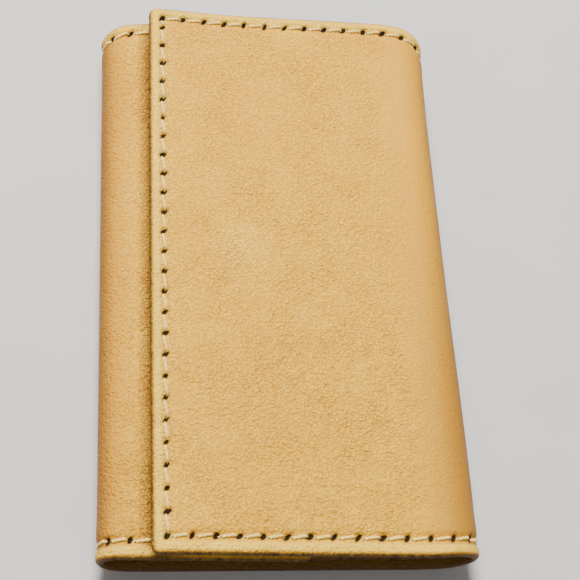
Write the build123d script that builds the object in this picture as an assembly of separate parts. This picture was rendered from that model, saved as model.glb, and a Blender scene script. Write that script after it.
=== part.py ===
"""Slim leather trifold wallet, modelled closed and lying on its back.

X runs across the two folds, Y runs along them and +Z is up. The origin is at the centre of the underside.
From the outside in, every panel has a leather shell, a fabric lining, the note compartment and a leather divider,
and the pockets are sewn to the divider. The right-hand flap wraps over the tucked-in inner panel.
Each layer is one sheet on the real wallet. Here it is cut at the four bend lines, so that the panels can turn.
"""

from build123d import *
import os
from collections import namedtuple
from math import copysign, cos, degrees, radians, sin, sqrt

os.makedirs("parts", exist_ok=True)

# Overall size, closed (mm)
WIDTH = 65.0
HEIGHT = 106.8
THICKNESS = 13.0
INNER_FOLD_HEIGHT = 9.6  # height over which the inner panel's fold turns
INNER_TILT = 4.0  # degrees that the inner panel slopes down towards its free edge
FLAP_EDGE_X = -24.0  # free edge of the flap
INNER_EDGE_X = 4.0  # free edge of the tucked-in panel

# Layers, as depths below the outer surface of the wallet
SHELL = (0.0, 1.3)
LINING = (1.32, 1.6)
DIVIDER = (1.75, 2.3)
SIDE_POCKET = (2.32, 2.75)
CARD_POCKETS = ((2.32, 2.72), (2.8, 3.2), (3.28, 3.68))  # rear, middle and front

# How far each layer stops short of the shell's edge
LINING_INSET = 1.0
DIVIDER_INSET = 0.8
POCKET_INSET = 1.2
NOTE_MOUTH_DROP = 3.6  # the divider's top edge is this far below the shell's, at the mouth for notes
CARD_MOUTH_Y = (37.0, 25.0, 13.0)  # mouth of each card pocket
FLAP_POCKET_MOUTH_X = 19.5
INNER_POCKET_MOUTH = 5.5  # along the inner panel, from its fold
SIDE_POCKET_TOP_DROP = 0.4  # the side pockets' top edge is this far below the divider's

# Stitching
STITCH_PITCH = 4.0
STITCH_GAP = 0.7  # between two stitches, at the needle hole
STITCH_MARGIN = 2.6  # from a free edge at the side
STITCH_ROW_Y = 51.0  # rows along the top and bottom edges
THREAD_RADIUS = 0.22
GROOVE_CLEARANCE = 0.03  # round the thread, in the dent that each stitch presses into the leather
POCKET_STITCH_PITCH = 3.2
POCKET_STITCH_MARGIN = 1.5
THREAD_LIFT = 0.02  # between a pocket's thread and the leather under it

# Press snap that holds the flap to the inner panel
SNAP_X = -6.0
SNAP_CAP_RADIUS = 4.6
SNAP_POST_RADIUS = 1.1
SOCKET_RADIUS = 4.0
SOCKET_HEIGHT = 1.35
CAVITY_RADIUS = 2.7
CAVITY_DEPTH = 1.1
STUD_BASE_RADIUS = 3.4
STUD_BASE_HEIGHT = 0.3
STUD_NECK_RADIUS = 1.45
STUD_HEAD_RADIUS = 1.85
STUD_HEAD_HEIGHT = 0.6
STUD_HEIGHT = 1.4
SPRING_RADIUS = 2.5
SPRING_WIRE_RADIUS = 0.17
SPRING_GAP = 1.2  # where the ring spring is split
SNAP_EDGE_RADIUS = 0.25

# The sheets' top and bottom edges curve in towards both folds
DRAW_IN = 2.4
STRAIGHT_HALF_WIDTH = 21.0

CORNER_RADIUS = 1.6
EDGE_RADIUS = 0.5
INNER_SHEET_CORNER_RADIUS = 1.2
CUT_ANGLE = 0.8  # degrees left free each side of a bend line

TOLERANCE = 1e-6
OVERCUT = 0.1  # how far a cut runs past the surface it opens

Fold = namedtuple("Fold", "x z radius")
RIGHT = Fold(WIDTH / 2 - THICKNESS / 2, THICKNESS / 2, THICKNESS / 2)
LEFT = Fold(INNER_FOLD_HEIGHT / 2 - WIDTH / 2, INNER_FOLD_HEIGHT / 2, INNER_FOLD_HEIGHT / 2)

# Angles round each fold's centre where a sheet is bent, and where a panel starts
RIGHT_LOWER_BEND, RIGHT_UPPER_BEND = -45.0, 45.0
INNER_START = 90.0 - INNER_TILT
LEFT_LOWER_BEND = 225.0
LEFT_UPPER_BEND = (180.0 + INNER_START) / 2

DRAW_REACH = WIDTH / 2 - STRAIGHT_HALF_WIDTH
DRAW_RADIUS = (DRAW_REACH**2 + DRAW_IN**2) / (2 * DRAW_IN)

INNER_DIRECTION = (cos(radians(INNER_TILT)), -sin(radians(INNER_TILT)))
INNER_NORMAL = (sin(radians(INNER_TILT)), cos(radians(INNER_TILT)))
INNER_LENGTH = (INNER_EDGE_X - LEFT.x - LEFT.radius * cos(radians(INNER_START))) / INNER_DIRECTION[0]


def on_fold(fold, depth, angle):
    """Point in the XZ section, at a depth below the outer surface and an angle round a fold."""
    reach = fold.radius - depth
    return (fold.x + reach * cos(radians(angle)), fold.z + reach * sin(radians(angle)))


def on_inner_panel(along, depth):
    """Point in the XZ section of the sloping inner panel, measured from where its fold ends."""
    x, z = on_fold(LEFT, 0, INNER_START)
    return (
        x + along * INNER_DIRECTION[0] - depth * INNER_NORMAL[0],
        z + along * INNER_DIRECTION[1] - depth * INNER_NORMAL[1],
    )


def fold_arc(fold, depth, first, last):
    """Edge that follows a fold at one depth."""
    return ThreePointArc(
        on_fold(fold, depth, first), on_fold(fold, depth, (first + last) / 2), on_fold(fold, depth, last)
    )


def joined(pieces):
    """Face inside a closed loop, with straight runs added between the given edges."""
    edges = []
    for piece, following in zip(pieces, pieces[1:] + pieces[:1]):
        edges.append(piece)
        start, end = piece @ 1, following @ 0
        if (end - start).length > TOLERANCE:
            edges.append(Line(start, end))
    return make_face(Curve() + edges)


def between(face, low_y, high_y):
    """Solid made by running a section along Y."""
    return extrude(Plane.XZ.offset(-high_y) * face, amount=high_y - low_y)


def drawn_in(x):
    """How far a sheet's top and bottom edges lie inside their straight middle stretch, at one x."""
    past = max(0.0, abs(x) - STRAIGHT_HALF_WIDTH)
    return DRAW_RADIUS - sqrt(DRAW_RADIUS**2 - past**2)


def end_edge(y):
    """The line in plan of a sheet's top edge, or of its bottom edge if y is negative, from left to right."""
    ends = [(x, y - copysign(drawn_in(x), y)) for x in (-WIDTH / 2, -STRAIGHT_HALF_WIDTH)]
    ends += [(-x, end_y) for x, end_y in reversed(ends)]
    half_way = STRAIGHT_HALF_WIDTH + DRAW_REACH / 2
    middle_y = y - copysign(drawn_in(half_way), y)
    left = ThreePointArc(ends[0], (-half_way, middle_y), ends[1])
    right = ThreePointArc(ends[2], (half_way, middle_y), ends[3])
    return [left, Line(ends[1], ends[2]), right]


def sheet(section, low_y, high_y):
    """A sheet with this section, whose top and bottom edges are curved in at the folds."""
    top, bottom = end_edge(high_y), end_edge(low_y)
    sides = [Line(top[0] @ 0, bottom[0] @ 0), Line(top[2] @ 1, bottom[2] @ 1)]
    plan = extrude(make_face(Curve() + top + bottom + sides), amount=THICKNESS)
    return between(section, low_y, high_y) & plan


def centre_section(layer):
    outer, inner = layer
    left = (LEFT_LOWER_BEND + CUT_ANGLE, 270.0)
    right = (-90.0, RIGHT_LOWER_BEND - CUT_ANGLE)
    return joined(
        [
            fold_arc(LEFT, outer, *left),
            fold_arc(RIGHT, outer, *right),
            fold_arc(RIGHT, inner, *reversed(right)),
            fold_arc(LEFT, inner, *reversed(left)),
        ]
    )


def fold_section(fold, layer, first, last):
    outer, inner = layer
    return joined([fold_arc(fold, outer, first, last), fold_arc(fold, inner, last, first)])


def right_fold_section(layer):
    return fold_section(RIGHT, layer, RIGHT_LOWER_BEND + CUT_ANGLE, RIGHT_UPPER_BEND - CUT_ANGLE)


def left_fold_section(layer):
    return fold_section(LEFT, layer, LEFT_LOWER_BEND - CUT_ANGLE, LEFT_UPPER_BEND + CUT_ANGLE)


def flap_section(layer, inset):
    outer, inner = layer
    edge = FLAP_EDGE_X + inset
    arc = (RIGHT_UPPER_BEND + CUT_ANGLE, 90.0)
    end = Line((edge, THICKNESS - outer), (edge, THICKNESS - inner))
    return joined([fold_arc(RIGHT, outer, *arc), end, fold_arc(RIGHT, inner, *reversed(arc))])


def inner_panel_section(layer, inset):
    outer, inner = layer
    arc = (LEFT_UPPER_BEND - CUT_ANGLE, INNER_START)
    tip = INNER_LENGTH - inset
    end = Line(on_inner_panel(tip, outer), on_inner_panel(tip, inner))
    return joined([fold_arc(LEFT, outer, *arc), end, fold_arc(LEFT, inner, *reversed(arc))])


def round_free_corners(solid, axis, radius):
    """Rounds the two corners in plan at a sheet's free edge, the ones furthest along axis."""
    through = 1.5 * (SHELL[1] - SHELL[0])
    corners = solid.edges().filter_by(lambda e: abs((e @ 1 - e @ 0).Y) < TOLERANCE and e.length < through)
    return fillet(corners.sort_by(axis)[-2:], radius)


def soften(solid):
    """Rounds the edges of a shell along its top and bottom."""
    end_y = HEIGHT / 2 - DRAW_IN - OVERCUT
    across = 1.5 * (SHELL[1] - SHELL[0])
    ends = solid.edges().filter_by(lambda e: abs(e.center().Y) > end_y and e.length > across)
    return fillet(ends, EDGE_RADIUS)


def flap_hole(radius):
    """Round hole through the flap's inner layers, for the snap."""
    return Pos(SNAP_X, 0, THICKNESS / 2) * Cylinder(radius, THICKNESS - 2 * SHELL[1])


def inner_panel_plane(along):
    """Plane on the inner panel's outer face, facing up out of the leather."""
    x, z = on_inner_panel(along, 0)
    return Plane(origin=(x, 0, z), x_dir=(INNER_DIRECTION[0], 0, INNER_DIRECTION[1]),
                 z_dir=(INNER_NORMAL[0], 0, INNER_NORMAL[1]))


def snap_plane():
    return inner_panel_plane((SNAP_X - on_inner_panel(0, 0)[0]) / INNER_DIRECTION[0])


def disc(radius, low, high):
    """Upright disc between two heights."""
    return Pos(0, 0, low) * Cylinder(radius, high - low, align=(Align.CENTER, Align.CENTER, Align.MIN))


def stitch(start, end, clearance=0.0):
    """One straight stitch of thread, between two needle holes, or with a clearance the dent it lies in."""
    start, end = Vector(*start), Vector(*end)
    thread = Cylinder(THREAD_RADIUS + clearance, (end - start).length - STITCH_GAP + 2 * clearance)
    return Plane(origin=(start + end) / 2, z_dir=end - start) * thread


def needle_holes(first, last, pitch):
    """Evenly spaced places along a run, with one at each end, about a pitch apart."""
    count = max(1, round(abs(last - first) / pitch))
    return [first + (last - first) * number / count for number in range(count + 1)]


def row(holes, clearance=0.0):
    """The stitches between neighbouring needle holes, given as points."""
    return [stitch(start, end, clearance) for start, end in zip(holes, holes[1:])]


def arc_length(fold, first, last):
    return fold.radius * radians(abs(last - first))


def sunk(point, normal, y):
    """A point of the outer surface, taken in until thread there is flush with the leather."""
    return (point[0] - normal[0] * THREAD_RADIUS, y, point[1] - normal[1] * THREAD_RADIUS)


def flap_run(run):
    """Point and normal of the flap's outer surface, at a distance from the bend line towards its free edge."""
    curved = arc_length(RIGHT, RIGHT_UPPER_BEND, 90)
    if run < curved:
        return around(RIGHT, RIGHT_UPPER_BEND + degrees(run / RIGHT.radius))
    return (RIGHT.x - run + curved, THICKNESS), (0, 1)


def centre_run(run):
    """The same on the back, from the right-hand bend line to the left-hand one."""
    right_curve = arc_length(RIGHT, -90, RIGHT_LOWER_BEND)
    flat = RIGHT.x - LEFT.x
    if run < right_curve:
        return around(RIGHT, RIGHT_LOWER_BEND - degrees(run / RIGHT.radius))
    if run < right_curve + flat:
        return (RIGHT.x - run + right_curve, 0), (0, -1)
    return around(LEFT, 270 - degrees((run - right_curve - flat) / LEFT.radius))


def inner_run(run):
    """The same on the inner panel, from its bend line towards its free edge."""
    curved = arc_length(LEFT, LEFT_UPPER_BEND, INNER_START)
    if run < curved:
        return around(LEFT, LEFT_UPPER_BEND - degrees(run / LEFT.radius))
    return on_inner_panel(run - curved, 0), INNER_NORMAL


def right_fold_run(run):
    return around(RIGHT, RIGHT_LOWER_BEND + degrees(run / RIGHT.radius))


def left_fold_run(run):
    return around(LEFT, LEFT_LOWER_BEND - degrees(run / LEFT.radius))


def around(fold, angle):
    return on_fold(fold, 0, angle), (cos(radians(angle)), sin(radians(angle)))


def edge_rows(run_point, length, clearance=0.0):
    """The rows along the top and bottom edges of one panel, with a needle hole at each end of the run."""
    places = [run_point(run) for run in needle_holes(0, length, STITCH_PITCH)]
    made = []
    for side in (1, -1):
        holes = [sunk(point, normal, side * (STITCH_ROW_Y - drawn_in(point[0]))) for point, normal in places]
        made += row(holes, clearance)
    return made


def column(point, normal, pitch, half_height, clearance=0.0):
    """A row of stitches that runs along Y past one point of the section."""
    return row([sunk(point, normal, y) for y in needle_holes(half_height, -half_height, pitch)], clearance)


def rim_rows(clearance=0.0):
    """The seam along the shell's edges, as lists of stitches by body, or of the dents that they lie in."""
    right_end = arc_length(RIGHT, RIGHT_UPPER_BEND, 90)
    left_end = arc_length(LEFT, LEFT_LOWER_BEND, 270)
    flap_length = right_end + RIGHT.x - FLAP_EDGE_X - STITCH_MARGIN
    inner_length = arc_length(LEFT, LEFT_UPPER_BEND, INNER_START) + INNER_LENGTH - STITCH_MARGIN
    flap_line = ((FLAP_EDGE_X + STITCH_MARGIN, THICKNESS), (0, 1))
    inner_line = (on_inner_panel(INNER_LENGTH - STITCH_MARGIN, 0), INNER_NORMAL)
    lengths = {
        flap_run: flap_length,
        right_fold_run: arc_length(RIGHT, RIGHT_LOWER_BEND, RIGHT_UPPER_BEND),
        centre_run: right_end + RIGHT.x - LEFT.x + left_end,
        left_fold_run: arc_length(LEFT, LEFT_LOWER_BEND, LEFT_UPPER_BEND),
        inner_run: inner_length,
    }
    found = {path: edge_rows(path, length, clearance) for path, length in lengths.items()}
    found[flap_run] += column(*flap_line, STITCH_PITCH, STITCH_ROW_Y, clearance)
    found[inner_run] += column(*inner_line, STITCH_PITCH, STITCH_ROW_Y, clearance)
    return found


def proud(point, normal):
    """A point lifted off a surface so that thread there lies just on top of it."""
    lift = 2 * THREAD_RADIUS + THREAD_LIFT
    return (point[0] + normal[0] * lift, point[1] + normal[1] * lift)


def card_thread(number):
    """The row of stitches along a card pocket's mouth."""
    z = CARD_POCKETS[number][1] + THREAD_RADIUS + THREAD_LIFT
    y = CARD_MOUTH_Y[number] - POCKET_STITCH_MARGIN
    xs = needle_holes(LEFT.x + POCKET_STITCH_MARGIN, RIGHT.x - POCKET_STITCH_MARGIN, POCKET_STITCH_PITCH)
    return row([(x, y, z) for x in xs])


def shells():
    half = HEIGHT / 2
    dents = rim_rows(GROOVE_CLEARANCE)
    flap = round_free_corners(sheet(flap_section(SHELL, 0), -half, half), -Axis.X, CORNER_RADIUS)
    inner = round_free_corners(sheet(inner_panel_section(SHELL, 0), -half, half), Axis.X, CORNER_RADIUS)
    post_hole = snap_plane() * disc(SNAP_POST_RADIUS, -SHELL[1] - OVERCUT, OVERCUT)
    return {
        "shell_centre": soften(sheet(centre_section(SHELL), -half, half)) - dents[centre_run],
        "shell_right_fold": soften(sheet(right_fold_section(SHELL), -half, half)) - dents[right_fold_run],
        "shell_flap": flap - dents[flap_run],
        "shell_left_fold": soften(sheet(left_fold_section(SHELL), -half, half)) - dents[left_fold_run],
        "shell_inner_panel": inner - dents[inner_run] - post_hole,
    }


def linings():
    half = HEIGHT / 2 - LINING_INSET
    flap = sheet(flap_section(LINING, LINING_INSET), -half, half) - flap_hole(SNAP_CAP_RADIUS)
    inner = sheet(inner_panel_section(LINING, LINING_INSET), -half, half)
    inner -= snap_plane() * disc(STUD_BASE_RADIUS, -LINING[1] - OVERCUT, -LINING[0] + OVERCUT)
    return {
        "lining_centre": sheet(centre_section(LINING), -half, half),
        "lining_right_fold": sheet(right_fold_section(LINING), -half, half),
        "lining_flap": flap,
        "lining_left_fold": sheet(left_fold_section(LINING), -half, half),
        "lining_inner_panel": inner,
    }


def dividers():
    low, high = DIVIDER_INSET - HEIGHT / 2, HEIGHT / 2 - NOTE_MOUTH_DROP
    flap = sheet(flap_section(DIVIDER, DIVIDER_INSET), low, high)
    flap = round_free_corners(flap, -Axis.X, INNER_SHEET_CORNER_RADIUS) - flap_hole(SNAP_POST_RADIUS)
    inner = sheet(inner_panel_section(DIVIDER, DIVIDER_INSET), low, high)
    return {
        "divider_centre": sheet(centre_section(DIVIDER), low, high),
        "divider_right_fold": sheet(right_fold_section(DIVIDER), low, high),
        "divider_flap": flap,
        "divider_left_fold": sheet(left_fold_section(DIVIDER), low, high),
        "divider_inner_panel": round_free_corners(inner, Axis.X, INNER_SHEET_CORNER_RADIUS),
    }


def pockets():
    low, high = POCKET_INSET - HEIGHT / 2, HEIGHT / 2 - NOTE_MOUTH_DROP - SIDE_POCKET_TOP_DROP
    made = {
        f"card_pocket_{place}": sheet(centre_section(layer), low, mouth)
        for place, layer, mouth in zip(("rear", "middle", "front"), CARD_POCKETS, CARD_MOUTH_Y)
    }
    outer, inner = SIDE_POCKET
    edge, mouth = FLAP_EDGE_X + POCKET_INSET, FLAP_POCKET_MOUTH_X
    flap = Polyline(
        (edge, THICKNESS - outer), (mouth, THICKNESS - outer),
        (mouth, THICKNESS - inner), (edge, THICKNESS - inner), close=True,
    )
    made["flap_pocket"] = sheet(make_face(flap), low, high) - flap_hole(SNAP_POST_RADIUS)
    tip = INNER_LENGTH - POCKET_INSET
    panel = Polyline(
        on_inner_panel(INNER_POCKET_MOUTH, outer), on_inner_panel(tip, outer),
        on_inner_panel(tip, inner), on_inner_panel(INNER_POCKET_MOUTH, inner), close=True,
    )
    made["inner_panel_pocket"] = sheet(make_face(panel), low, high)
    return made


def threads():
    rim = rim_rows()
    made = {
        "rim_thread_flap": rim[flap_run],
        "rim_thread_right_fold": rim[right_fold_run],
        "rim_thread_centre": rim[centre_run],
        "rim_thread_left_fold": rim[left_fold_run],
        "rim_thread_inner_panel": rim[inner_run],
    }
    for number, place in enumerate(("rear", "middle", "front")):
        made[f"card_pocket_thread_{place}"] = card_thread(number)
    inside = SIDE_POCKET[1]
    half = STITCH_ROW_Y - NOTE_MOUTH_DROP
    down = (0, -1)
    mouth = proud((FLAP_POCKET_MOUTH_X - POCKET_STITCH_MARGIN, THICKNESS - inside), down)
    made["flap_pocket_thread"] = column(mouth, down, POCKET_STITCH_PITCH, half)
    inwards = (-INNER_NORMAL[0], -INNER_NORMAL[1])
    mouth = proud(on_inner_panel(INNER_POCKET_MOUTH + POCKET_STITCH_MARGIN, inside), inwards)
    made["inner_panel_pocket_thread"] = column(mouth, inwards, POCKET_STITCH_PITCH, half)
    return {name: Compound(children=stitches) for name, stitches in made.items()}


def snap():
    """The press snap: a hidden cap and a sprung socket on the flap, a stud and its hidden post on the inner panel."""
    pocket_face = THICKNESS - SIDE_POCKET[1]
    cap = disc(SNAP_CAP_RADIUS, THICKNESS - LINING[1], THICKNESS - SHELL[1])
    cap += disc(SNAP_POST_RADIUS, pocket_face, THICKNESS - LINING[1])
    mouth = pocket_face - SOCKET_HEIGHT
    socket = disc(SOCKET_RADIUS, mouth, pocket_face) - disc(CAVITY_RADIUS, mouth, mouth + CAVITY_DEPTH)
    socket = fillet(socket.edges().filter_by(GeomType.CIRCLE).group_by(Axis.Z)[0], SNAP_EDGE_RADIUS)
    spring_z = mouth + CAVITY_DEPTH / 2
    spring = Pos(0, 0, spring_z) * Torus(SPRING_RADIUS, SPRING_WIRE_RADIUS)
    spring -= Pos(SPRING_RADIUS, 0, spring_z) * Box(SPRING_RADIUS, SPRING_GAP, CAVITY_DEPTH)

    stud = disc(STUD_BASE_RADIUS, 0, STUD_BASE_HEIGHT) + disc(STUD_NECK_RADIUS, 0, STUD_HEIGHT)
    stud += disc(STUD_HEAD_RADIUS, STUD_HEIGHT - STUD_HEAD_HEIGHT, STUD_HEIGHT)
    stud = fillet(stud.edges().filter_by(GeomType.CIRCLE).group_by(Axis.Z)[-1], SNAP_EDGE_RADIUS)
    stud -= disc(SNAP_POST_RADIUS, -OVERCUT, STUD_BASE_HEIGHT)
    post = disc(STUD_BASE_RADIUS, -LINING[1], -LINING[0])
    post += disc(SNAP_POST_RADIUS, -LINING[0], STUD_BASE_HEIGHT)
    place = snap_plane()
    return {
        "snap_cap": Pos(SNAP_X, 0, 0) * cap,
        "snap_socket": Pos(SNAP_X, 0, 0) * socket,
        "snap_spring": Pos(SNAP_X, 0, 0) * spring,
        "snap_stud": place * stud,
        "snap_post": place * post,
    }


for name, shape in {**shells(), **linings(), **dividers(), **pockets(), **threads(), **snap()}.items():
    export_step(shape, f"parts/{name}.step")
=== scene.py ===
import math

import bpy
import numpy as np
from mathutils import Matrix, Vector


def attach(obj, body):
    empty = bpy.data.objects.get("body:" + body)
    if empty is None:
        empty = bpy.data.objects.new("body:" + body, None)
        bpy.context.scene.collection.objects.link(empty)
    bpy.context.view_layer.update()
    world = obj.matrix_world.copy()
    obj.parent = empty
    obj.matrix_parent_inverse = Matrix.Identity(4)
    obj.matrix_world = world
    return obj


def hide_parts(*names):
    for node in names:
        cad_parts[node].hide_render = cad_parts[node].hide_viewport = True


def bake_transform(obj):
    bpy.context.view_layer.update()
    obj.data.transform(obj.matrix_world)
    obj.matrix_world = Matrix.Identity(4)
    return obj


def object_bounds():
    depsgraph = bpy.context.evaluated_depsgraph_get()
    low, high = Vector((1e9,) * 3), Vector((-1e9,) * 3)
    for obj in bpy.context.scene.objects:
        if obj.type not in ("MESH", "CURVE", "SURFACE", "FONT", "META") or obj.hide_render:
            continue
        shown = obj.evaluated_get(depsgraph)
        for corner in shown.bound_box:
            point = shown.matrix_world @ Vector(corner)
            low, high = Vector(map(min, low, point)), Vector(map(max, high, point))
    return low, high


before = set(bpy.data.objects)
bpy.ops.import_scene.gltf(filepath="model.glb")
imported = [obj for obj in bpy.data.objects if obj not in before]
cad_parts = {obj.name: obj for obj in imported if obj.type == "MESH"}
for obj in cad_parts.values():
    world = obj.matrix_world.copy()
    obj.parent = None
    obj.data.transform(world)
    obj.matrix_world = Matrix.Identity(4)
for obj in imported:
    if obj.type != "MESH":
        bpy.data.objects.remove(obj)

cad_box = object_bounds()

MM = 0.001  # the sizes below are in millimetres, as in the CAD source

# The wallet's section: flap, right fold, back, left fold and inner panel
WIDTH, HEIGHT, THICKNESS = 65.0, 106.8, 13.0
INNER_FOLD_HEIGHT, INNER_TILT = 9.6, 4.0
FLAP_EDGE_X, INNER_EDGE_X = -24.0, 4.0
RIGHT_R, LEFT_R = THICKNESS / 2, INNER_FOLD_HEIGHT / 2
RIGHT_X, LEFT_X = WIDTH / 2 - RIGHT_R, LEFT_R - WIDTH / 2
INNER_START = math.radians(90 - INNER_TILT)
INNER_LENGTH = (INNER_EDGE_X - LEFT_X - LEFT_R * math.cos(INNER_START)) / math.cos(math.radians(INNER_TILT))

# Where each stretch of the section starts, along the leather from the flap's free edge
S_RIGHT = RIGHT_X - FLAP_EDGE_X
S_BACK = S_RIGHT + math.pi * RIGHT_R
S_LEFT = S_BACK + RIGHT_X - LEFT_X
S_INNER = S_LEFT + LEFT_R * (1.5 * math.pi - INNER_START)
S_END = S_INNER + INNER_LENGTH

# Each sheet is made in four pieces, cut half way round each fold and at the middle of the back
S_SEAM_RIGHT = S_RIGHT + 0.5 * math.pi * RIGHT_R
S_SEAM_BACK = S_BACK + RIGHT_X
S_SEAM_LEFT = S_LEFT + 0.5 * math.pi * LEFT_R
# The bend lines that the bodies turn about
S_BEND_FLAP = S_RIGHT + 0.25 * math.pi * RIGHT_R
S_BEND_RIGHT = S_RIGHT + 0.75 * math.pi * RIGHT_R
S_BEND_LEFT = S_LEFT + 0.25 * math.pi * LEFT_R
S_BEND_INNER = S_LEFT + LEFT_R * (1.5 * math.pi - (math.pi + INNER_START) / 2)

# Layers, as depths below the outer surface
SHELL = (0.0, 1.3)
LINING = (1.32, 1.6)
DIVIDER = (1.75, 2.3)
SIDE_POCKET = (2.32, 2.75)
CARD_POCKETS = {"rear": (2.32, 2.72, 37.0), "middle": (2.8, 3.2, 25.0), "front": (3.28, 3.68, 13.0)}
LINING_INSET, DIVIDER_INSET, POCKET_INSET = 1.0, 0.8, 1.2
NOTE_MOUTH_DROP = 3.6
FLAP_POCKET_MOUTH_X, INNER_POCKET_MOUTH = 19.5, 5.5
CARD_POCKET_GAP = 0.1  # between a card pocket and the bend line beside it
SNAP_X = -6.0
S_SNAP = SNAP_X - FLAP_EDGE_X

S_FLAP_MOUTH, S_INNER_MOUTH = FLAP_POCKET_MOUTH_X - FLAP_EDGE_X, S_INNER + INNER_POCKET_MOUTH

# The wallet has settled in use: its right fold stands out more at the bottom than at the top, and the flap
# lies lower at its bottom right and higher along the top
FULLER_BELOW, TIGHTER_ABOVE = 1.3, 0.4
STRAIGHTER_BELOW = (0.9, 0.8)  # share of the draw-in that is missing at the lower left and lower right
LONGER_BELOW = 0.7  # the leather's lower edge, worn and pressed out
FLAP_RISE = {"top_left": 0.4, "top_right": 1.4, "bottom_left": -0.1, "bottom_right": -3.0}
CROWN_HEIGHT, LIFTED_CORNER, UNEVENNESS = 0.35, 0.9, 0.14
UNEVENNESS_LENGTH = 34.0

STITCH_PITCH, STITCH_MARGIN, STITCH_ROW_Y = 4.0, 2.6, 51.0
POCKET_STITCH_PITCH, POCKET_STITCH_MARGIN = 3.2, 1.5
SHORT_LOCKING_STITCH, COLUMN_STITCHES = 2.0, 25
DRAW_IN, STRAIGHT_HALF_WIDTH = 2.4, 21.0
DRAW_REACH = WIDTH / 2 - STRAIGHT_HALF_WIDTH
DRAW_RADIUS = (DRAW_REACH**2 + DRAW_IN**2) / (2 * DRAW_IN)
CORNER_RADIUS = 1.6
LINING_CORNER, DIVIDER_CORNER, POCKET_CORNER = 1.4, 1.8, 1.2
SIDE_POCKET_TOP_DROP = 0.4

# Relief of the outer leather and of its thread
BORDER_PUFF, SEAM_DEPTH, CUSHION, HOLE_DEPTH = 0.20, 0.26, 0.10, 0.42
SEAM_HALF_WIDTH = 0.75
EDGE_STITCH_RADIUS, INSIDE_STITCH_RADIUS, POCKET_STITCH_RADIUS = 0.29, 0.24, 0.2
STITCH_END_MARGIN, STITCH_SUNK_BY, STITCH_RISE, STITCH_RISE_LENGTH = 0.50, 0.50, 0.62, 0.75
TWIST_PITCH, PLY_DEPTH = 0.9, 0.16
INSIDE_THREAD_DEPTH, POCKET_THREAD_RISE = 0.04, 0.06


# ---------------------------------------------------------------- shape of the leather

def section(s, depth=0.0):
    """Point and outward normal of the section, a distance s along the outer surface and a depth below it."""
    s = np.asarray(s, float)
    a_right = 0.5 * math.pi - (s - S_RIGHT) / RIGHT_R
    a_left = 1.5 * math.pi - (s - S_LEFT) / LEFT_R
    start_x = LEFT_X + LEFT_R * math.cos(INNER_START)
    start_z = LEFT_R + LEFT_R * math.sin(INNER_START)
    tilt = math.radians(INNER_TILT)
    along = s - S_INNER
    zero, one = np.zeros_like(s), np.ones_like(s)
    where = [s < S_RIGHT, s < S_BACK, s < S_LEFT, s < S_INNER]
    nx = np.select(where, [zero, np.cos(a_right), zero, np.cos(a_left)], math.sin(tilt))
    nz = np.select(where, [one, np.sin(a_right), -one, np.sin(a_left)], math.cos(tilt))
    x = np.select(
        where,
        [FLAP_EDGE_X + s, RIGHT_X + RIGHT_R * nx, RIGHT_X - (s - S_BACK), LEFT_X + LEFT_R * nx],
        start_x + along * math.cos(tilt),
    )
    z = np.select(
        where,
        [THICKNESS * one, RIGHT_R + RIGHT_R * nz, zero, LEFT_R + LEFT_R * nz],
        start_z - along * math.sin(tilt),
    )
    return x - nx * depth, z - nz * depth, nx, nz


def smoothstep(value):
    value = np.clip(value, 0.0, 1.0)
    return value * value * (3 - 2 * value)


def drawn_in(x):
    """How far the top and bottom edges lie inside their straight middle stretch, at one x."""
    past = np.clip(np.abs(x) - STRAIGHT_HALF_WIDTH, 0.0, DRAW_REACH)
    return DRAW_RADIUS - np.sqrt(DRAW_RADIUS**2 - past**2)


def waves(u, v, wavelength, seed):
    """Smooth seeded unevenness between about -1 and 1."""
    rng = np.random.default_rng(seed)
    total = 0.0
    for _ in range(7):
        angle = rng.uniform(0, 2 * math.pi)
        length = wavelength * rng.uniform(0.7, 1.6)
        phase = rng.uniform(0, 2 * math.pi)
        total = total + np.sin(2 * math.pi * (u * math.cos(angle) + v * math.sin(angle)) / length + phase)
    return total / 4.5


def settle(s, y):
    """How far every layer together has lifted or sunk from the plain section, along the normal."""
    on_flap = 1 - smoothstep((s - S_RIGHT + 14) / 16)
    crown = CROWN_HEIGHT * on_flap * (1 - (y / 54.0) ** 2) * smoothstep(s / 14)
    lifted_corner = LIFTED_CORNER * np.exp(-np.hypot(s / 11, (y - 53.4) / 16) ** 2)
    soft = UNEVENNESS * waves(s, y, UNEVENNESS_LENGTH, 3) * on_flap
    clear_of_snap = smoothstep(np.hypot(s - S_SNAP, y) / 13 - 0.3)
    return (crown + soft) * clear_of_snap + lifted_corner


def flap_rise(s, y):
    """How far the flap and its fold stand above the plain section, straight up. It dies out down the fold."""
    across = np.clip(s / (S_RIGHT + 2), 0, 1)
    up = np.clip(0.5 + y / HEIGHT, 0, 1)
    top = FLAP_RISE["top_left"] + across * (FLAP_RISE["top_right"] - FLAP_RISE["top_left"])
    fall = FLAP_RISE["bottom_right"] - FLAP_RISE["bottom_left"]
    bottom = FLAP_RISE["bottom_left"] + smoothstep(across) * fall
    _, height, _, _ = section(s)
    share = np.where(s < S_BACK, height / THICKNESS, 0.0)
    return (bottom + up * (top - bottom)) * share


def spread(x, y):
    """How far the right-hand fold stands out sideways: most at the bottom, where the wallet is fuller."""
    below = FULLER_BELOW * smoothstep((18 - y) / 66)
    above = TIGHTER_ABOVE * smoothstep((y - 8) / 30)
    return smoothstep((x - 2) / 26) * (below - above)


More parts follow.
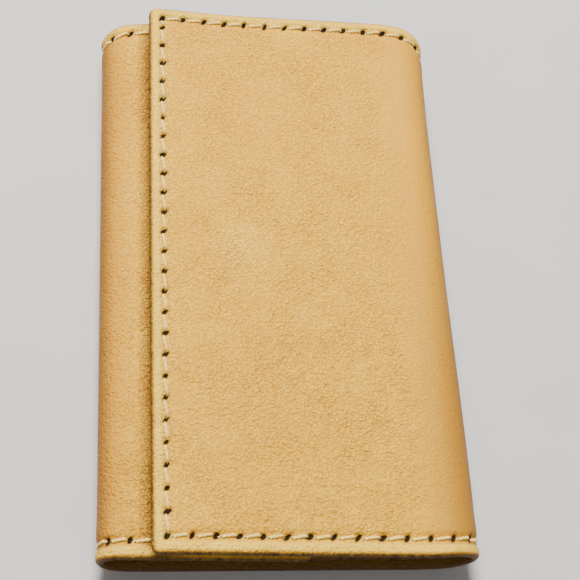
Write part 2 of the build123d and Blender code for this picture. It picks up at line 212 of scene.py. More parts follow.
def place(s, y, depth, lift=0.0):
    """Points of the folded wallet, in metres, from places on the unrolled sheet."""
    x, z, nx, nz = section(s, depth)
    rise = settle(s, y) + lift
    near_end = smoothstep((np.abs(y) - 8) / 34)
    straighter_below = np.where(x > 0, STRAIGHTER_BELOW[1], STRAIGHTER_BELOW[0]) * smoothstep(np.abs(x) / 20)
    less_below = 1 - straighter_below * smoothstep(-y / 30)
    y_placed = y - np.sign(y) * drawn_in(x) * near_end * less_below
    x_placed = x + spread(x, y) + nx * rise
    z_placed = z + nz * rise + flap_rise(s, y)
    return np.stack([x_placed, y_placed, z_placed], axis=-1) * MM


# ---------------------------------------------------------------- stitch rows

def needle_holes(first, last, pitch):
    count = max(1, round(abs(last - first) / pitch))
    return np.linspace(first, last, count + 1)


def rim_holes():
    """Needle holes of the rim as (s, y) pairs, one array per unbroken row."""
    runs = [
        (STITCH_MARGIN, S_BEND_FLAP),
        (S_BEND_FLAP, S_BEND_RIGHT),
        (S_BEND_RIGHT, S_BEND_LEFT),
        (S_BEND_LEFT, S_BEND_INNER),
        (S_BEND_INNER, S_END - STITCH_MARGIN),
    ]
    along = [STITCH_MARGIN]
    for first, last in runs:
        along += list(needle_holes(first, last, STITCH_PITCH)[1:])
    along = np.array(along)
    rows = [np.stack([along, np.full_like(along, side * STITCH_ROW_Y)], axis=1) for side in (1, -1)]
    # The flap's column starts with one short stitch, where the seam was locked
    below_lock = np.linspace(STITCH_ROW_Y - SHORT_LOCKING_STITCH, -STITCH_ROW_Y, COLUMN_STITCHES + 1)
    down = np.concatenate([[STITCH_ROW_Y], below_lock])
    rows.append(np.stack([np.full_like(down, STITCH_MARGIN), down], axis=1))
    down = needle_holes(STITCH_ROW_Y, -STITCH_ROW_Y, STITCH_PITCH)
    rows.append(np.stack([np.full_like(down, S_END - STITCH_MARGIN), down], axis=1))
    return rows


RIM_ROWS = rim_holes()
HOLE_LENGTH, HOLE_WIDTH, HOLE_SLANT = 0.74, 0.44, math.radians(48)


def distance_to_rows(s, y):
    """Distance to the nearest stitch row, in the unrolled sheet."""
    along = np.maximum(np.maximum(STITCH_MARGIN - s, s - (S_END - STITCH_MARGIN)), 0.0)
    rows = np.hypot(np.abs(np.abs(y) - STITCH_ROW_Y), along)
    past = np.maximum(np.abs(y) - STITCH_ROW_Y, 0.0)
    first = np.hypot(np.abs(s - STITCH_MARGIN), past)
    last = np.hypot(np.abs(s - (S_END - STITCH_MARGIN)), past)
    return np.minimum(np.minimum(rows, first), last)


def hole_dents(s, y):
    """1 at each needle hole of the rim, falling to 0 within about a millimetre.

    The holes are slanted slits, as an awl leaves them, and no two are quite alike."""
    rng = np.random.default_rng(5)
    found = np.zeros_like(s)
    for hole_s, hole_y in np.concatenate(RIM_ROWS):
        length, width = HOLE_LENGTH * rng.uniform(0.85, 1.2), HOLE_WIDTH * rng.uniform(0.8, 1.2)
        slant = HOLE_SLANT + rng.uniform(-0.35, 0.35)
        off_s, off_y = rng.uniform(-0.08, 0.08, 2)
        from_s, from_y = s - hole_s - off_s, y - hole_y - off_y
        close = (np.abs(from_s) < 1.5) & (np.abs(from_y) < 1.5)
        if close.any():
            lengthways = from_s[close] * math.cos(slant) + from_y[close] * math.sin(slant)
            sideways = from_y[close] * math.cos(slant) - from_s[close] * math.sin(slant)
            squared = (lengthways / length) ** 2 + (sideways / width) ** 2
            found[close] = np.maximum(found[close], np.exp(-squared))
    return found


def shell_relief(s, y, edge, with_holes=True):
    """Height of the outer leather over its plain surface: puffed border, pulled-in seam and needle holes."""
    row = distance_to_rows(s, y)
    border = BORDER_PUFF * smoothstep(edge / 0.9) * (1 - smoothstep((edge - 1.5) / 1.1))
    border = border * (1 + 0.35 * waves(s, y, 9.0, 11))
    seam = -SEAM_DEPTH * np.exp(-((row / SEAM_HALF_WIDTH) ** 2))
    cushion = CUSHION * smoothstep((edge - 3.0) / 1.6) * (1 - smoothstep((edge - 4.6) / 4.0))
    surface = border + seam + cushion
    return surface - HOLE_DEPTH * hole_dents(s, y) if with_holes else surface


# ---------------------------------------------------------------- meshes

# Grid lines on both sides of every needle hole, so that the holes keep their shape
HOLE_STEPS = (-0.9, -0.7, -0.5, -0.34, -0.17, 0.0, 0.17, 0.34, 0.5, 0.7, 0.9)


EDGE_LINES = 6
LEAST_STEP, LEAST_STEP_AT_EDGE = 0.09, 1e-5


def lines_between(first, last, free_first, free_last, coarse, fine, fine_width, edge_radius, gathered=()):
    """Grid lines across a sheet: close at each free edge and at the gathered places, and coarse elsewhere."""
    quarter = edge_radius * (1 - np.cos(np.linspace(0, 0.5 * math.pi, EDGE_LINES)))
    start, end, middle_first, middle_last = [], [], first, last
    if free_first:
        middle_first = first + fine_width
        start = list(first + quarter) + list(np.arange(first + edge_radius + fine, middle_first, fine))
    if free_last:
        middle_last = last - fine_width
        end = list(last - quarter) + list(np.arange(last - edge_radius - fine, middle_last, -fine))
    count = max(2, int(math.ceil((middle_last - middle_first) / coarse)) + 1)
    middle = list(np.linspace(middle_first, middle_last, count))
    near = [spot + step for spot in gathered for step in HOLE_STEPS if first < spot + step < last]
    merged = np.array(sorted(start + middle + end + near))
    must = np.isin(merged, [merged[0], merged[-1], *start[:EDGE_LINES], *end[:EDGE_LINES]])
    kept = [merged[0]]
    for value, needed in zip(merged[1:], must[1:]):
        if value - kept[-1] > (LEAST_STEP_AT_EDGE if needed else LEAST_STEP):
            kept.append(value)
    return np.array(kept)


def around_square(a, b):
    """Maps a unit square's corner onto a quarter disc."""
    return a * np.sqrt(1 - b * b / 2), b * np.sqrt(1 - a * a / 2)


def rounded_corners(s, y, s0, s1, free0, free1, y0, y1, radius):
    """Moves grid points at a sheet's free corners so that its outline is rounded there."""
    s, y = s.copy(), y.copy()
    for s_edge, free, s_sign in ((s0, free0, 1), (s1, free1, -1)):
        if not free:
            continue
        for y_edge, y_sign in ((y0, 1), (y1, -1)):
            a = (radius - s_sign * (s - s_edge)) / radius
            b = (radius - y_sign * (y - y_edge)) / radius
            inside = (a > 0) & (b > 0)
            a2, b2 = around_square(a[inside], b[inside])
            s[inside] = s_edge + s_sign * radius * (1 - a2)
            y[inside] = y_edge + y_sign * radius * (1 - b2)
    return s, y


SEAM_PROBE = 0.4  # how far on either side of a cut the leather's slope is taken


class Sheet:
    """One piece of a layer, between two places on the section: a closed slab with rounded free edges."""

    def __init__(self, s0, s1, y0, y1, depths, free0=False, free1=False, relief=None,
                 coarse=1.2, fine=0.3, fine_width=4.8, corner=CORNER_RADIUS, gathered=((), ())):
        self.s0, self.s1, self.y0, self.y1 = s0, s1, y0, y1
        self.depths, self.free0, self.free1 = depths, free0, free1
        self.relief, self.corner = relief, corner
        self.half = (depths[1] - depths[0]) / 2
        self.s_lines = lines_between(s0, s1, free0, free1, coarse, fine, fine_width, self.half, gathered[0])
        self.y_lines = lines_between(y0, y1, True, True, coarse, fine, fine_width, self.half, gathered[1])

    def points(self, s_lines, outer):
        s, y = np.meshgrid(s_lines, self.y_lines, indexing="ij")
        edge = np.minimum(y - self.y0, self.y1 - y)
        if self.free0:
            edge = np.minimum(edge, s - self.s0)
        if self.free1:
            edge = np.minimum(edge, self.s1 - s)
        edge = np.maximum(edge, 0.0)
        s, y = rounded_corners(s, y, self.s0, self.s1, self.free0, self.free1, self.y0, self.y1, self.corner)
        inward = np.clip(1 - edge / self.half, 0, 1)
        half = self.half * np.sqrt(1 - inward**2)
        middle = (self.depths[0] + self.depths[1]) / 2
        lift = half if outer else -half
        if outer and self.relief is not None:
            lift = lift + self.relief(s, y, edge) * smoothstep(edge / 0.5)
        return place(s, y, middle, lift), s, y, edge

    def seam_normals(self, outer):
        """Exact normals along the cut ends, so that no line shows where two pieces meet."""
        found = {}
        for index, free in ((0, self.free0), (-1, self.free1)):
            if free:
                continue
            lines = self.s_lines[index] + np.array([-SEAM_PROBE, 0, SEAM_PROBE])
            around = self.points(lines, outer)[0]
            along_s = around[2] - around[0]
            along_y = np.gradient(around[1], axis=0)
            normal = np.cross(along_y, along_s)
            normal /= np.maximum(np.linalg.norm(normal, axis=1, keepdims=True), 1e-12)
            _, _, nx, nz = section(np.array([self.s_lines[index]]))
            outward = np.array([nx[0], 0, nz[0]])
            facing = outward if outer else -outward
            normal *= np.sign(normal @ facing)[:, None]
            found[index] = normal
        return found

    @staticmethod
    def closed_end(top, bottom, index):
        """Triangles across a cut end, as indices of points."""
        first = np.stack([top[:-1], top[1:], bottom[1:]], axis=-1)
        second = np.stack([top[:-1], bottom[1:], bottom[:-1]], axis=-1)
        faces = np.concatenate([first[:-1], second[1:]])
        return faces if index == 0 else faces[:, ::-1]

    def build(self, name):
        outer, s, y, edge = self.points(self.s_lines, True)
        inner = self.points(self.s_lines, False)[0]
        rows, columns = s.shape
        top = np.arange(rows * columns).reshape(rows, columns)
        bottom = top + rows * columns
        bottom[:, 0], bottom[:, -1] = top[:, 0], top[:, -1]
        if self.free0:
            bottom[0] = top[0]
        if self.free1:
            bottom[-1] = top[-1]
        quads = np.stack([top[:-1, :-1], top[:-1, 1:], top[1:, 1:], top[1:, :-1]], axis=-1).reshape(-1, 4)
        under = np.stack([bottom[:-1, :-1], bottom[1:, :-1], bottom[1:, 1:], bottom[:-1, 1:]], axis=-1)
        quads = np.concatenate([quads[:, ::-1], under.reshape(-1, 4)[:, ::-1]])
        cuts = [index for index, free in ((0, self.free0), (-1, self.free1)) if not free]
        ends = [self.closed_end(top[index], bottom[index], index) for index in cuts]
        co = np.concatenate([outer.reshape(-1, 3), inner.reshape(-1, 3)])
        uv = np.stack([s, y], axis=-1).reshape(-1, 2)
        uv = np.concatenate([uv, uv])
        edge_value = np.concatenate([edge.ravel(), edge.ravel()])
        outside = np.concatenate([np.ones(edge.size), np.zeros(edge.size)])
        normals = np.zeros_like(co)
        for outer_side, index_of in ((True, top), (False, bottom)):
            for index, normal in self.seam_normals(outer_side).items():
                normals[index_of[index, 1:-1]] = normal[1:-1]
        used = np.unique(quads)
        compact = np.searchsorted(used, quads)
        faces = compact.tolist() + [face for end in ends for face in np.searchsorted(used, end).tolist()]
        holes = hole_dents(s, y).ravel() if self.relief is not None else np.zeros(edge.size)
        facts = {"edge": edge_value, "outside": outside, "hole": np.concatenate([holes, holes * 0])}
        facts = {key: value[used] for key, value in facts.items()}
        return mesh_object(name, co[used], faces, uv[used], facts, normals[used])


def mesh_object(name, co, faces, uv=None, facts=None, normals=None):
    """A smooth-shaded object from arrays, with a UV map in centimetres of leather and per-point facts."""
    mesh = bpy.data.meshes.new(name)
    mesh.from_pydata(co.tolist(), [], faces if isinstance(faces, list) else faces.tolist())
    mesh.polygons.foreach_set("use_smooth", np.ones(len(mesh.polygons), bool))
    if uv is not None:
        layer = mesh.uv_layers.new(name="leather")
        corner = np.empty(len(mesh.loops), np.int32)
        mesh.loops.foreach_get("vertex_index", corner)
        layer.data.foreach_set("uv", (uv[corner] * UV_PER_MM).astype(np.float32).ravel())
    for key, value in (facts or {}).items():
        mesh.attributes.new(key, "FLOAT", "POINT").data.foreach_set("value", value.astype(np.float32))
    if normals is not None and np.any(normals):
        mesh.normals_split_custom_set_from_vertices(normals.tolist())
    mesh.update()
    obj = bpy.data.objects.new(name, mesh)
    bpy.context.scene.collection.objects.link(obj)
    return obj


def tube(path, radius, sides=9):
    """Points and faces of one twisted two-ply thread, and how far along the thread each ring lies."""
    tangents = np.gradient(path, axis=0)
    tangents /= np.linalg.norm(tangents, axis=1, keepdims=True)
    across = np.cross(tangents, tangents[len(tangents) // 2] + np.array([0.31, 0.17, 0.93]))
    across /= np.linalg.norm(across, axis=1, keepdims=True)
    up = np.cross(across, tangents)
    run = np.concatenate([[0], np.cumsum(np.linalg.norm(np.diff(path, axis=0), axis=1))])
    angle = np.linspace(0, 2 * math.pi, sides, endpoint=False)
    ply = 1 + PLY_DEPTH * np.cos(2 * (angle[None, :] - math.pi * run[:, None] / (TWIST_PITCH * MM)))
    ring = radius * MM * ply[:, :, None] * (
        np.cos(angle)[None, :, None] * across[:, None, :] + np.sin(angle)[None, :, None] * up[:, None, :]
    )
    co = (path[:, None, :] + ring).reshape(-1, 3)
    n = len(path)
    base = np.arange(n * sides).reshape(n, sides)
    around = np.roll(base, -1, axis=1)
    faces = np.stack([base[:-1], around[:-1], around[1:], base[1:]], axis=-1).reshape(-1, 4)
    return co, faces, run


def stitches(name, spans, height, slant=0.0, radius=EDGE_STITCH_RADIUS):
    """One object for a group of stitches.

    Each span is (start, end) on the unrolled sheet. The height function gives points above the surface."""
    rng = np.random.default_rng(len(spans) + 17)
    all_co, all_faces, all_uv, count = [], [], [], 0
    profile = np.linspace(0, 1, 15)
    for (s_a, y_a), (s_b, y_b) in spans:
        length = math.hypot(s_b - s_a, y_b - y_a)
        side_s, side_y = -(y_b - y_a) / length, (s_b - s_a) / length
        lean = slant * rng.uniform(0.8, 1.2) * (0.5 - profile)
        margin = STITCH_END_MARGIN / length
        t = margin + (1 - 2 * margin) * profile
        s = s_a + (s_b - s_a) * t + side_s * lean
        y = y_a + (y_b - y_a) * t + side_y * lean
        reach = np.minimum(profile, 1 - profile) * length
        lift = STITCH_RISE * smoothstep(reach / STITCH_RISE_LENGTH) - STITCH_SUNK_BY
        lift = lift + rng.uniform(-0.03, 0.03)
        co, faces, run = tube(height(s, y, lift), radius * rng.uniform(0.94, 1.06))
        all_co.append(co)
        all_faces.append(faces + count)
        lengthways = np.repeat(run / MM, len(co) // len(run))
        all_uv.append(np.stack([lengthways, np.full(len(co), rng.uniform(0, 50))], axis=-1))
        count += len(co)
    return mesh_object(name, np.concatenate(all_co), np.concatenate(all_faces), np.concatenate(all_uv))


# ---------------------------------------------------------------- materials

UV_PER_MM = 0.1  # the UV map, and every texture scale, is in centimetres of leather
LINING_THREADS_PER_CM = 19.0


def new_material(name):
    material = bpy.data.materials.new(name)
    material.use_nodes = True
    tree = material.node_tree
    return material, tree, tree.nodes["Principled BSDF"]


def add(tree, kind, inputs=None, **settings):
    """A node with settings, and its inputs given as values or sockets."""
    node = tree.nodes.new(kind)
    for key, value in settings.items():
        setattr(node, key, value)
    for key, value in (inputs or {}).items():
        if isinstance(value, bpy.types.NodeSocket):
            tree.links.new(value, node.inputs[key])
        else:
            node.inputs[key].default_value = value
    return node


def math_node(tree, operation, a, b=0.0, clamp=False):
    return add(tree, "ShaderNodeMath", {0: a, 1: b}, operation=operation, use_clamp=clamp).outputs[0]


def vector_node(tree, operation, a, b):
    return add(tree, "ShaderNodeVectorMath", {0: a, 1: b}, operation=operation).outputs[0]


def remap(tree, value, low, high, to_low=0.0, to_high=1.0, smooth=False):
    kind = "SMOOTHSTEP" if smooth else "LINEAR"
    keys = {"Value": value, "From Min": low, "From Max": high, "To Min": to_low, "To Max": to_high}
    return add(tree, "ShaderNodeMapRange", keys, interpolation_type=kind, clamp=True).outputs["Result"]


def mix(tree, factor, a, b):
    node = add(tree, "ShaderNodeMix", data_type="RGBA")
    for socket, value in ((node.inputs[0], factor), (node.inputs[6], a), (node.inputs[7], b)):
        if isinstance(value, bpy.types.NodeSocket):
            tree.links.new(value, socket)
        else:
            socket.default_value = value
    return node.outputs[2]


def noise(tree, vector, scale, detail=3.0, roughness=0.5, distortion=0.0):
    keys = {"Vector": vector, "Scale": scale, "Detail": detail, "Roughness": roughness}
    return add(tree, "ShaderNodeTexNoise", {**keys, "Distortion": distortion}).outputs["Fac"]


def linear(red, green, blue):
    """A display colour from 0 to 255, as the shader's linear colour."""
    def channel(value):
        value /= 255
        return value / 12.92 if value <= 0.04045 else ((value + 0.055) / 1.055) ** 2.4
    return (channel(red), channel(green), channel(blue), 1.0)


def fact(tree, name):
    return add(tree, "ShaderNodeAttribute", attribute_name=name, attribute_type="GEOMETRY").outputs["Fac"]


def leather_vector(tree):
    return add(tree, "ShaderNodeUVMap", uv_map="leather").outputs["UV"]


def band(tree, value, start, full, fade, end):
    """1 between full and fade, falling to 0 at start and end."""
    rise = remap(tree, value, start, full, smooth=True)
    fall = remap(tree, value, fade, end, 1.0, 0.0, smooth=True)
    return times(tree, rise, fall)


def times(tree, *factors):
    product = factors[0]
    for factor in factors[1:]:
        product = math_node(tree, "MULTIPLY", product, factor)
    return product


def plus(tree, *terms):
    total = terms[0]
    for term in terms[1:]:
        total = math_node(tree, "ADD", total, term)
    return total


def wandering(tree, where, scale, amount):
    """The same place, moved about a little so that patterns made from it aren't regular."""
    drift = add(tree, "ShaderNodeTexNoise", {"Vector": where, "Scale": scale, "Detail": 2.0}).outputs["Color"]
    centred = vector_node(tree, "SUBTRACT", drift, (0.5, 0.5, 0.5))
    return vector_node(tree, "ADD", where, vector_node(tree, "MULTIPLY", centred, (amount, amount, 0.0)))


def domes(tree, where, scale):
    """Domed cells of a Voronoi pattern, 1 at their middles."""
    cells = add(tree, "ShaderNodeTexVoronoi", {"Vector": where, "Scale": scale}, feature="F1")
    distance = cells.outputs["Distance"]
    return math_node(tree, "SUBTRACT", 1.0, times(tree, distance, distance, 2.0))


def pebbles(tree, where, scale):
    """Height of a pebble grain: near 1 on the domed tops and 0 in the creases between them."""
    moved = wandering(tree, where, 8.0, 0.03)
    large, small = domes(tree, moved, scale), domes(tree, moved, 1.9 * scale)
    return plus(tree, times(tree, large, 0.65), times(tree, small, 0.35))


def creases(tree, where, across, along, seed_offset):
    """Fine wrinkles that run along the first axis: 1 in a wrinkle's bottom."""
    moved = wandering(tree, where, 3.0, 0.22)
    mapping = {"Vector": moved, "Location": (seed_offset, seed_offset, 0.0), "Scale": (along, across, 1.0)}
    squeezed = add(tree, "ShaderNodeMapping", mapping).outputs[0]
    cells = add(tree, "ShaderNodeTexVoronoi", {"Vector": squeezed, "Scale": 1.0}, feature="DISTANCE_TO_EDGE")
    broken = remap(tree, noise(tree, where, 5.0, 2.0), 0.42, 0.60, smooth=True)
    return times(tree, remap(tree, cells.outputs["Distance"], 0.0, 0.16, 1.0, 0.0, smooth=True), broken)


def outer_leather():
    """Full-grain tan leather, creased and stretched by its place on the unrolled sheet, with painted shade
    and painted highlights laid on by place as well.
    """
    material, tree, shader = new_material("outer_leather")
    where = leather_vector(tree)
    split = add(tree, "ShaderNodeSeparateXYZ", {0: where})
    along, up = split.outputs[0], split.outputs[1]

    def stretch(start, full, fade, end):
        """A band across the leather, from places in millimetres."""
        return band(tree, along, *(place_mm * UV_PER_MM for place_mm in (start, full, fade, end)))

    stretched = stretch(S_RIGHT - 8, S_RIGHT + 1, S_BACK - 2, S_BACK + 3)
    left_fold = stretch(S_LEFT - 2, S_LEFT + 2, S_INNER - 2.5, S_INNER + 1.0)
    under_flap = S_INNER + (FLAP_EDGE_X - LEFT_X) / math.cos(math.radians(INNER_TILT))
    # Painted shade: a band on the inner panel beside the flap's edge, where the flap shades it; the grain is
    # also deeper there
    shade_beside_flap = stretch(under_flap - 2.7, under_flap - 0.3, under_flap + 2, under_flap + 6)
    # Height
    grain = pebbles(tree, where, 20.0)
    coarse_spots = remap(tree, noise(tree, where, 1.1, 2.0), 0.42, 0.62, 0.88, 1.12)
    depth = times(tree, coarse_spots, remap(tree, stretched, 0.0, 1.0, 1.0, 0.35),
                  remap(tree, shade_beside_flap, 0, 1, 1.0, 1.6))
    lower = remap(tree, up, 1.5, -3.0, 0.12, 1.0, smooth=True)
    flap_right = remap(tree, along, 0.8, 3.4, 0.25, 1.0, smooth=True)
    patches = remap(tree, noise(tree, where, 1.3, 2.0), 0.38, 0.58, 0.25, 1.0, smooth=True)
    here = times(tree, lower, flap_right, patches, remap(tree, stretched, 0.3, 1.0, 1.0, 0.15))
    wrinkle = times(tree, creases(tree, where, 13.0, 5.0, 3.0), here)
    small_wrinkle = times(tree, creases(tree, where, 22.0, 9.0, 7.0), here)
    wrinkles = math_node(tree, "MAXIMUM", wrinkle, times(tree, small_wrinkle, 0.6))
    pores = noise(tree, where, 110.0, 2.0)
    height = plus(tree, times(tree, grain, depth), times(tree, wrinkles, -0.4), times(tree, pores, 0.25),
                  times(tree, noise(tree, where, 9.0, 3.0), 0.2))
    bump = add(tree, "ShaderNodeBump", {"Height": height, "Strength": 1.0, "Distance": 0.00015})
    tree.links.new(bump.outputs["Normal"], shader.inputs["Normal"])
    # Colour
    base, shade, pale = linear(241, 188, 38), linear(235, 178, 32), linear(247, 205, 72)
    golden_shade, brown, dark = linear(200, 136, 26), linear(82, 51, 18), linear(36, 22, 8)
    clouds = remap(tree, noise(tree, where, 0.5, 4.0, 0.55, 0.4), 0.30, 0.62, smooth=True)
    colour = mix(tree, clouds, shade, base)
    # Painted highlight: a pale patch on the flap, a little left of the snap
    middle = ((S_SNAP - 1.5) * UV_PER_MM, 0.25, 0)
    from_snap = add(tree, "ShaderNodeVectorMath", {0: where, 1: middle}, operation="DISTANCE")
    from_snap = plus(tree, from_snap.outputs["Value"], times(tree, noise(tree, where, 2.5, 3.0), 0.5))
    highlight_at_snap = remap(tree, from_snap, 0.45, 1.0, 0.75, 0.0, smooth=True)
    colour = mix(tree, highlight_at_snap, colour, pale)
    cloudy = remap(tree, noise(tree, where, 2.6, 5.0, 0.6), 0.40, 0.72, 0.0, 0.30)
    colour = mix(tree, cloudy, colour, pale)
    tops = remap(tree, grain, 0.40, 0.90, smooth=True)
    low_grain = times(tree, math_node(tree, "SUBTRACT", 1.0, tops), times(tree, depth, 0.52))
    colour = mix(tree, low_grain, colour, linear(186, 122, 24))
    colour = mix(tree, times(tree, remap(tree, grain, 0.78, 0.97, smooth=True), 0.55), colour, pale)
    # Painted shade in the bottoms of the wrinkles
    colour = mix(tree, times(tree, wrinkles, 0.30), colour, linear(150, 94, 26))
    # The folds are more golden where the leather is stretched, and darker as painted shade where they turn
    # away from the light
    colour = mix(tree, times(tree, math_node(tree, "MAXIMUM", stretched, left_fold), 0.60), colour, golden_shade)
    # Painted shade: the right fold and the left fold's outermost edge are darkened where they turn away from
    # the light
    fold_shade = stretch(S_RIGHT + 2, S_RIGHT + 9, S_BACK - 6, S_BACK + 1)
    left_edge_shade = stretch(S_LEFT + 1, S_SEAM_LEFT - 1, S_SEAM_LEFT + 1.5, S_SEAM_LEFT + 6)
    fold_shade = math_node(tree, "MAXIMUM", fold_shade, left_edge_shade)
    colour = mix(tree, times(tree, fold_shade, 0.80), colour, linear(140, 88, 20))
    # Painted shade: the right fold grows darker towards the bottom
    lower_fold_shade = stretch(S_RIGHT - 5, S_RIGHT + 4, S_BACK - 6, S_BACK + 1)
    lower_fold_shade = times(tree, lower_fold_shade, remap(tree, up, 2.5, -3.5, smooth=True))
    colour = mix(tree, times(tree, lower_fold_shade, 0.55), colour, linear(140, 92, 26))
    # Painted shade beside the flap's edge
    colour = mix(tree, times(tree, shade_beside_flap, 0.52), colour, linear(108, 74, 28))
    edge = fact(tree, "edge")
    # Painted highlight along the puffed border between the edge and the stitch row
    border_highlight = times(tree, band(tree, edge, 0.5, 1.0, 1.6, 2.6),
                       remap(tree, noise(tree, where, 4.0, 3.0), 0.3, 0.7, 0.4, 0.85))
    colour = mix(tree, border_highlight, colour, linear(252, 212, 76))
    burnished = times(tree, remap(tree, edge, 0.22, 0.62, 1.0, 0.0, smooth=True),
                      remap(tree, noise(tree, where, 7.0, 3.0), 0.3, 0.7, 0.65, 1.0))
    colour = mix(tree, burnished, colour, brown)
    # Painted shade: the leather's very edge and its flesh side are darkened, standing in for the shade inside
    # the wallet and under its bottom edge
    colour = mix(tree, times(tree, remap(tree, edge, 0.03, 0.25, 1.0, 0.0, smooth=True), 0.5), colour, dark)
    flesh = math_node(tree, "SUBTRACT", 1.0, fact(tree, "outside"))
    colour = mix(tree, times(tree, flesh, 0.85), colour, linear(92, 62, 32))
    # Painted shade in the needle holes and the dents around them
    hole = remap(tree, fact(tree, "hole"), 0.30, 0.55, smooth=True)
    around_hole = remap(tree, fact(tree, "hole"), 0.03, 0.40, 0.0, 0.45)
    colour = mix(tree, around_hole, colour, brown)
    colour = mix(tree, hole, colour, dark)
    tree.links.new(colour, shader.inputs["Base Color"])
    low_places = math_node(tree, "SUBTRACT", 1.0, tops)
    uneven = remap(tree, noise(tree, where, 1.7, 4.0), 0.3, 0.7, 0.40, 0.54)
    gloss = plus(tree, uneven, times(tree, hole, 0.35), times(tree, low_places, 0.12),
                 times(tree, stretched, -0.04))
    tree.links.new(gloss, shader.inputs["Roughness"])
    shader.inputs["Specular IOR Level"].default_value = 0.24
    return material


def inner_leather():
    """Smoother, thinner leather of the pockets and dividers, with a burnished edge."""
    material, tree, shader = new_material("inner_leather")
    where = leather_vector(tree)
    grain = pebbles(tree, where, 24.0)
    height = plus(tree, times(tree, grain, 0.5), times(tree, noise(tree, where, 100.0, 2.0), 0.25),
                  times(tree, noise(tree, where, 6.0, 3.0), 1.0))
    bump = add(tree, "ShaderNodeBump", {"Height": height, "Strength": 0.8, "Distance": 0.00014})
    tree.links.new(bump.outputs["Normal"], shader.inputs["Normal"])
    clouds = remap(tree, noise(tree, where, 0.7, 4.0), 0.38, 0.64, smooth=True)
    colour = mix(tree, clouds, linear(186, 128, 40), linear(194, 137, 46))
    colour = mix(tree, remap(tree, grain, 0.9, 0.3, 0.0, 0.42), colour, linear(138, 84, 24))
    patches = remap(tree, noise(tree, where, 0.8, 2.0), 0.5, 0.62)
    marks = times(tree, creases(tree, where, 2.0, 0.9, 11.0), patches)
    colour = mix(tree, times(tree, marks, 0.18), colour, linear(140, 88, 36))
    edge = fact(tree, "edge")
    burnished = times(tree, remap(tree, edge, 0.10, 0.42, 1.0, 0.0, smooth=True),
                      remap(tree, noise(tree, where, 7.0, 3.0), 0.3, 0.7, 0.6, 1.0))
    colour = mix(tree, burnished, colour, linear(62, 38, 18))
    tree.links.new(colour, shader.inputs["Base Color"])
    gloss = remap(tree, noise(tree, where, 2.0, 4.0), 0.3, 0.7, 0.48, 0.62)
    tree.links.new(gloss, shader.inputs["Roughness"])
    shader.inputs["Specular IOR Level"].default_value = 0.34
    return material


def woven_lining(name, light, dark):
    """Plain-woven cotton, with warp and weft of slightly different tones."""
    material, tree, shader = new_material(name)
    where = leather_vector(tree)
    split = add(tree, "ShaderNodeSeparateXYZ", {0: where})
    density = LINING_THREADS_PER_CM * 2 * math.pi
    warp = math_node(tree, "SINE", math_node(tree, "MULTIPLY", split.outputs[0], density))
    weft = math_node(tree, "SINE", math_node(tree, "MULTIPLY", split.outputs[1], density))
    over = math_node(tree, "MULTIPLY", warp, weft)
    drawn_out = add(tree, "ShaderNodeMapping", {"Vector": where, "Scale": (2.0, 30.0, 1.0)}).outputs[0]
    slub = noise(tree, drawn_out, 3.0, 3.0)
    tone = remap(tree, over, -1.0, 1.0, 0.0, 0.7)
    tone = math_node(tree, "ADD", tone, math_node(tree, "MULTIPLY", slub, 0.5), clamp=True)
    tree.links.new(mix(tree, tone, dark, light), shader.inputs["Base Color"])
    height = math_node(tree, "ADD", math_node(tree, "ABSOLUTE", warp), math_node(tree, "ABSOLUTE", weft))
    bump = add(tree, "ShaderNodeBump", {"Height": height, "Strength": 0.45, "Distance": 0.0001})
    tree.links.new(bump.outputs["Normal"], shader.inputs["Normal"])
    tree.links.new(remap(tree, slub, 0.2, 0.8, 0.78, 0.92), shader.inputs["Roughness"])
    shader.inputs["Sheen Weight"].default_value = 0.25
    return material


def waxed_thread(name, light, dark):
    """Twisted waxed thread with fibres along the ply and a little dirt."""
    material, tree, shader = new_material(name)
    where = leather_vector(tree)
    drawn_out = add(tree, "ShaderNodeMapping", {"Vector": where, "Scale": (60.0, 8.0, 1.0)}).outputs[0]
    fibre = noise(tree, drawn_out, 2.0, 3.0)
    dirt = remap(tree, noise(tree, where, 3.0, 2.0), 0.35, 0.7)
    colour = mix(tree, remap(tree, fibre, 0.3, 0.7), dark, light)
    colour = mix(tree, math_node(tree, "MULTIPLY", dirt, 0.35), colour, dark)
    tree.links.new(colour, shader.inputs["Base Color"])
    bump = add(tree, "ShaderNodeBump", {"Height": fibre, "Strength": 0.5, "Distance": 0.00006})
    tree.links.new(bump.outputs["Normal"], shader.inputs["Normal"])
    tree.links.new(remap(tree, fibre, 0.3, 0.7, 0.42, 0.62), shader.inputs["Roughness"])
    shader.inputs["Sheen Weight"].default_value = 0.2
    return material


def snap_metal(name, clean, aged, rough):
    """Plated metal with fine turning rings, tarnish in patches and brighter wear."""
    material, tree, shader = new_material(name)
    where = add(tree, "ShaderNodeTexCoord").outputs["Object"]
    centred = vector_node(tree, "ADD", where, (-SNAP_X * MM, 0, 0))
    tarnish = remap(tree, noise(tree, centred, 700.0, 5.0, 0.6), 0.42, 0.66, smooth=True)
    tree.links.new(mix(tree, tarnish, clean, aged), shader.inputs["Base Color"])
    rings = add(tree, "ShaderNodeTexWave", {"Vector": centred, "Scale": 900.0, "Distortion": 0.6},
                wave_type="RINGS", rings_direction="Z").outputs["Fac"]
    bump = add(tree, "ShaderNodeBump", {"Height": rings, "Strength": 0.2, "Distance": 0.00004})
    tree.links.new(bump.outputs["Normal"], shader.inputs["Normal"])
    tree.links.new(remap(tree, tarnish, 0, 1, rough, rough + 0.22), shader.inputs["Roughness"])
    shader.inputs["Metallic"].default_value = 1.0
    return material


